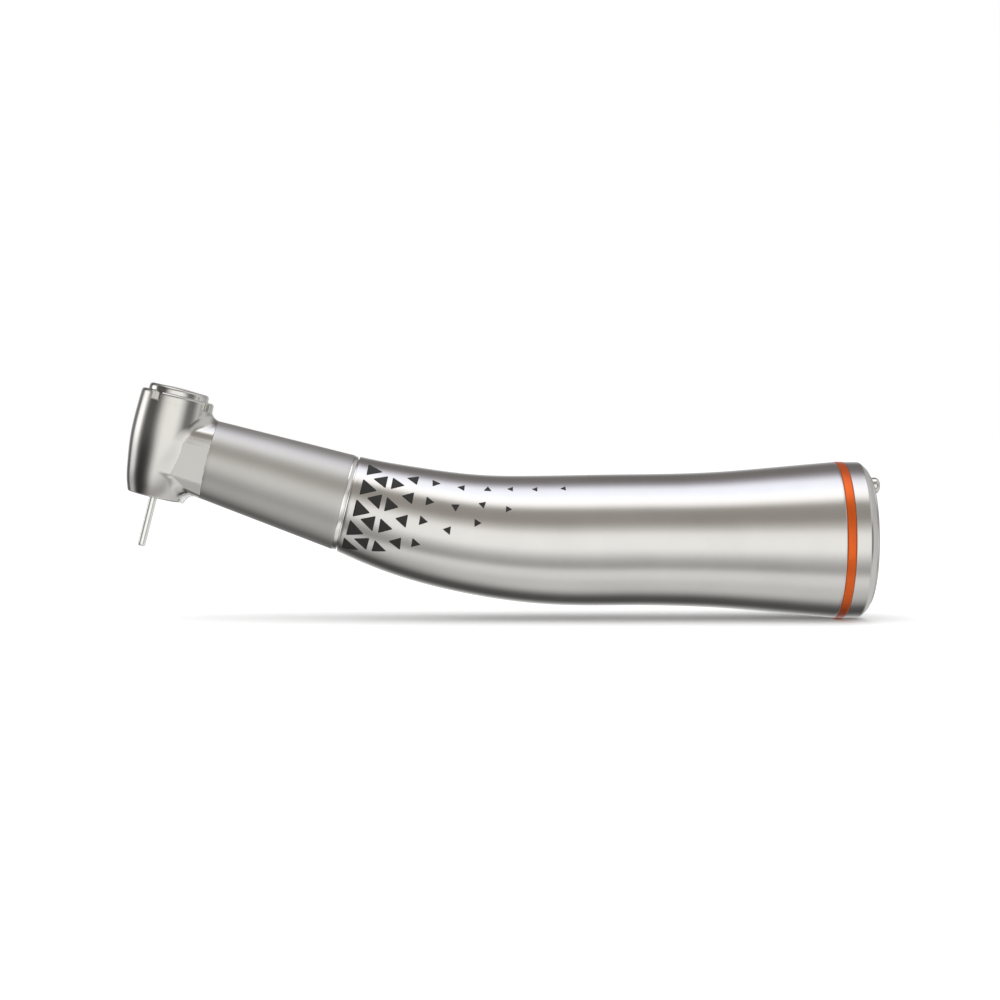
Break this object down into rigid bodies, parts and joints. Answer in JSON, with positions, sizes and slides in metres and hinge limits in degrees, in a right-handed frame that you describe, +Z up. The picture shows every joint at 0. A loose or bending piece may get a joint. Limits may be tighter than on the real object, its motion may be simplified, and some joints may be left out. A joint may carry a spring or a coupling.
{
  "type": "contra angle handpiece",
  "caption": "Dental contra-angle handpiece in satin steel, with push-button head, bent grip, orange speed ring and a plain bur.",
  "frame": {"origin": "centre of the rear coupling bore at its mouth", "axes": "+X out of the rear along the coupling bore, +Z up to the push button, the head towards -X"},
  "size_m": [0.0919, 0.0192, 0.0287],
  "materials": {
    "satin_head": "satin",
    "satin_neck": "fine blasted satin",
    "satin_handle": "satin with dark inlaid triangles",
    "bright_ring": "bright",
    "polished_steel": "polished",
    "orange_ring": "glossy",
    "clear_lens": "clear",
    "glass_rod": "clear",
    "inner_steel": "machined",
    "gear_steel": "ground",
    "bearing_steel": "ground bright",
    "bearing_balls": "polished",
    "spring_steel": "smooth",
    "seal_rubber": "matte"
  },
  "bodies": {
    "handpiece": {"head_housing": "satin_head", "head_cap_ring": "polished_steel", "light_lens": "clear_lens", "spray_ring": "satin_head", "neck_sleeve": "satin_neck", "seam_ring": "bright_ring", "handle_shell": "satin_handle", "colour_ring": "orange_ring", "rear_ring": "satin_handle", "locating_pin": "polished_steel", "coupling_sleeve": "inner_steel", "upper_outer_race": "bearing_steel", "lower_outer_race": "bearing_steel", "spring_plate": "inner_steel", "button_spring": "spring_steel", "preload_washer": "spring_steel", "middle_housing": "inner_steel", "neck_o_ring": "seal_rubber", "mid_front_outer_race": "bearing_steel", "mid_rear_outer_race": "bearing_steel", "knee_housing": "inner_steel", "drive_housing": "inner_steel", "drive_front_outer_race": "bearing_steel", "drive_rear_outer_race": "bearing_steel", "drive_circlip": "spring_steel", "sleeve_screws": "inner_steel", "light_guide": "glass_rod", "spray_water_tube": "inner_steel", "spray_air_tube": "inner_steel"},
    "drive": {"bell_gear": "gear_steel", "drive_shaft": "gear_steel", "clutch_driver": "gear_steel", "drive_front_inner_race": "bearing_steel", "drive_rear_inner_race": "bearing_steel"},
    "drive_front_balls": {"drive_front_ball_cage": "bearing_balls"},
    "drive_rear_balls": {"drive_rear_ball_cage": "bearing_balls"},
    "middle": {"crown_gear": "gear_steel", "middle_shaft": "gear_steel", "mid_front_inner_race": "bearing_steel", "mid_rear_inner_race": "bearing_steel", "mid_spacer": "inner_steel"},
    "mid_front_balls": {"mid_front_ball_cage": "bearing_balls"},
    "mid_rear_balls": {"mid_rear_ball_cage": "bearing_balls"},
    "spindle": {"chuck_spindle": "gear_steel", "collet_chuck": "gear_steel", "upper_inner_race": "bearing_steel", "lower_inner_race": "bearing_steel", "plunger_spring": "spring_steel"},
    "upper_balls": {"upper_ball_cage": "bearing_balls"},
    "lower_balls": {"lower_ball_cage": "bearing_balls"},
    "button": {"push_button": "polished_steel"},
    "plunger": {"release_plunger": "gear_steel"},
    "bur_blank": {"bur": "polished_steel"}
  },
  "joints": [
    {"name": "drive_spin", "type": "hinge", "parent": "handpiece", "child": "drive", "pos_m": [-0.04, 0, 0], "axis": [1, 0, 0], "continuous": true},
    {"name": "drive_front_cage_spin", "type": "hinge", "parent": "handpiece", "child": "drive_front_balls", "pos_m": [-0.0445, 0, 0], "axis": [1, 0, 0], "continuous": true},
    {"name": "drive_rear_cage_spin", "type": "hinge", "parent": "handpiece", "child": "drive_rear_balls", "pos_m": [-0.036, 0, 0], "axis": [1, 0, 0], "continuous": true},
    {"name": "middle_spin", "type": "hinge", "parent": "handpiece", "child": "middle", "pos_m": [-0.06617, 0, 0.00661], "axis": [0.9703, 0, -0.2419], "continuous": true},
    {"name": "mid_front_cage_spin", "type": "hinge", "parent": "handpiece", "child": "mid_front_balls", "pos_m": [-0.08044, 0, 0.01017], "axis": [0.9703, 0, -0.2419], "continuous": true},
    {"name": "mid_rear_cage_spin", "type": "hinge", "parent": "handpiece", "child": "mid_rear_balls", "pos_m": [-0.05172, 0, 0.00301], "axis": [0.9703, 0, -0.2419], "continuous": true},
    {"name": "spindle_spin", "type": "hinge", "parent": "handpiece", "child": "spindle", "pos_m": [-0.08558, 0, 0.01145], "axis": [0.2419, 0, 0.9703], "continuous": true},
    {"name": "upper_cage_spin", "type": "hinge", "parent": "handpiece", "child": "upper_balls", "pos_m": [-0.08449, 0, 0.01582], "axis": [0.2419, 0, 0.9703], "continuous": true},
    {"name": "lower_cage_spin", "type": "hinge", "parent": "handpiece", "child": "lower_balls", "pos_m": [-0.08669, 0, 0.00699], "axis": [0.2419, 0, 0.9703], "continuous": true},
    {"name": "button_press", "type": "slide", "parent": "handpiece", "child": "button", "axis": [-0.2419, 0, -0.9703], "range_m": [0, 0.00035], "stiffness_N_per_m": 4000, "deforming": ["button_spring"]},
    {"name": "plunger_push", "type": "slide", "parent": "spindle", "child": "plunger", "axis": [-0.2419, 0, -0.9703], "range_m": [0, 0.0002625], "deforming": ["plunger_spring"]},
    {"name": "bur_pull", "type": "slide", "parent": "spindle", "child": "bur_blank", "axis": [-0.2419, 0, -0.9703], "range_m": [0, 0.0155]}
  ],
  "couplings": [
    {"joint": "middle_spin", "follows": "drive_spin", "ratio": 3},
    {"joint": "spindle_spin", "follows": "drive_spin", "ratio": -5},
    {"joint": "drive_front_cage_spin", "follows": "drive_spin", "ratio": 0.396},
    {"joint": "drive_rear_cage_spin", "follows": "drive_spin", "ratio": 0.396},
    {"joint": "mid_front_cage_spin", "follows": "drive_spin", "ratio": 1.1657},
    {"joint": "mid_rear_cage_spin", "follows": "drive_spin", "ratio": 1.1657},
    {"joint": "upper_cage_spin", "follows": "drive_spin", "ratio": -2.0667},
    {"joint": "lower_cage_spin", "follows": "drive_spin", "ratio": -2.0565},
    {"joint": "plunger_push", "follows": "button_press", "ratio": 0.75}
  ]
}
